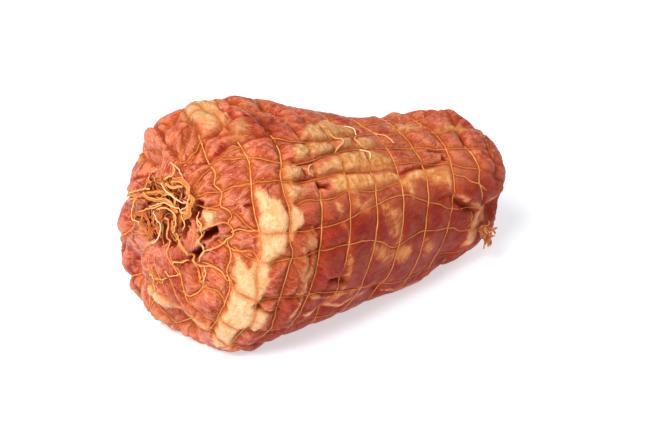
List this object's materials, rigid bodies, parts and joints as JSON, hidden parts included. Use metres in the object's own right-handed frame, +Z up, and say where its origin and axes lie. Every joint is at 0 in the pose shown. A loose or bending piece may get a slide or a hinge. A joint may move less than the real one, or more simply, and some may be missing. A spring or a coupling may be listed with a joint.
{
  "type": "netted boston butt roast",
  "caption": "Smoked boneless pork shoulder roast in an elastic net, thick at one end and slimmer at the other, lying on its side with the net gathered at both ends.",
  "frame": {"origin": "centre of the footprint of the roast's bounding box, on the surface it lies on", "axes": "+X along the roast from its thick end to its slim end, +Z up"},
  "size_m": [0.2749, 0.1583, 0.148],
  "materials": {
    "meat": "moist smoked pork, lean and fat, softly glossy",
    "net": "smoke-tanned elastic cotton net, damp",
    "net_tail": "darker frayed cut end of the net"
  },
  "bodies": {
    "root": {"meat": "meat", "net": "net", "net_gather_front": "net", "net_tail_back": "net_tail"}
  },
  "joints": []
}
